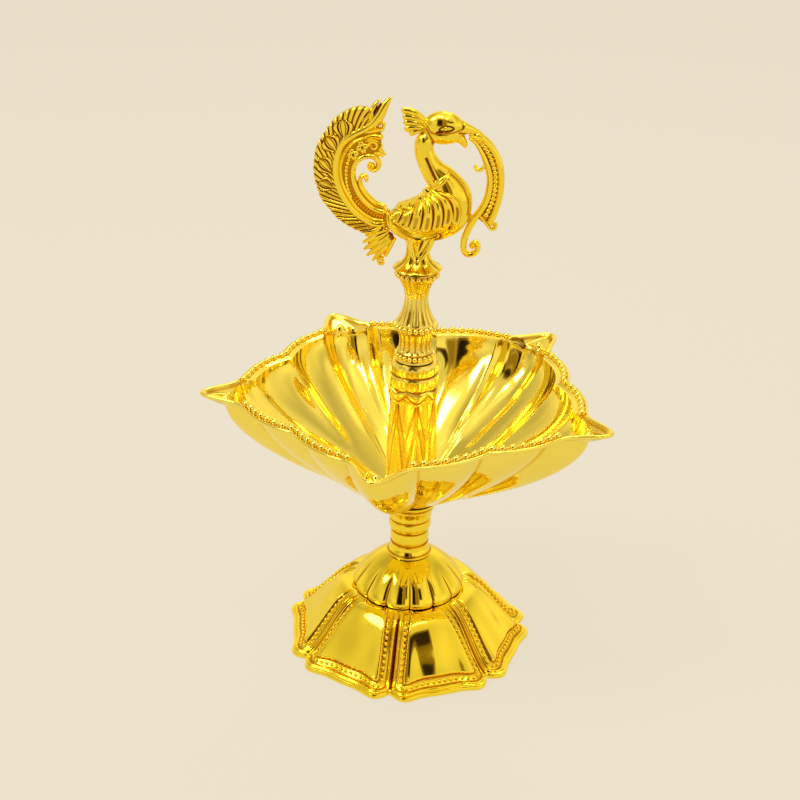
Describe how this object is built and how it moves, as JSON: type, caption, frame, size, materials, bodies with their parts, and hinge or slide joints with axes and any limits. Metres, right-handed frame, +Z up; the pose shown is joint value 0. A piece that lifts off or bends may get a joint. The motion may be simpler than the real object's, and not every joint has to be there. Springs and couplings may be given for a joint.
{
  "type": "peacock oil lamp",
  "caption": "Brass oil lamp: petalled bell foot, lobed bowl with pointed wick spouts, fluted pillar and a peacock with curled tail and beak garland on top.",
  "frame": {"origin": "centre of the plan box at the ground plane; the stem's axis stands 4.1 mm to +X and 3.2 mm to +Y of it, because five spouts cannot be centred both ways", "axes": "+Z up along the stem, +X the way the peacock faces, -Y towards the viewer of the picture"},
  "size_m": [0.1404, 0.1414, 0.2052],
  "materials": {
    "polished_brass": "mirror-polished cast brass",
    "bowl_brass": "mirror-polished cast brass",
    "chased_brass": "polished brass, dark in its carved grooves",
    "plain_brass": "turned brass, unpolished",
    "seal_leather": "oiled leather ring"
  },
  "bodies": {
    "foot": {"foot_skirt": "polished_brass"},
    "nut": {"foot_washer": "plain_brass", "foot_nut": "plain_brass"},
    "dome": {"foot_dome": "polished_brass"},
    "stem": {"lower_stem": "polished_brass"},
    "bowl": {"bowl_seal": "seal_leather", "bowl": "bowl_brass"},
    "pillar": {"column_sleeve": "polished_brass"},
    "vase": {"column_vase": "polished_brass"},
    "peacock": {"peacock_body": "chased_brass", "peacock_tail": "chased_brass", "beak_garland": "chased_brass"}
  },
  "joints": [
    {"name": "nut_unscrew", "type": "slide", "parent": "foot", "child": "nut", "axis": [0, 0, -1], "range_m": [0, 0.008]},
    {"name": "dome_lift", "type": "slide", "parent": "foot", "child": "dome", "axis": [0, 0, 1], "range_m": [0, 0.012]},
    {"name": "stem_lift", "type": "slide", "parent": "dome", "child": "stem", "axis": [0, 0, 1], "range_m": [0, 0.03]},
    {"name": "bowl_lift", "type": "slide", "parent": "stem", "child": "bowl", "axis": [0, 0, 1], "range_m": [0, 0.022]},
    {"name": "pillar_lift", "type": "slide", "parent": "bowl", "child": "pillar", "axis": [0, 0, 1], "range_m": [0, 0.018]},
    {"name": "vase_lift", "type": "slide", "parent": "pillar", "child": "vase", "axis": [0, 0, 1], "range_m": [0, 0.015]},
    {"name": "peacock_lift", "type": "slide", "parent": "vase", "child": "peacock", "axis": [0, 0, 1], "range_m": [0, 0.012]}
  ]
}
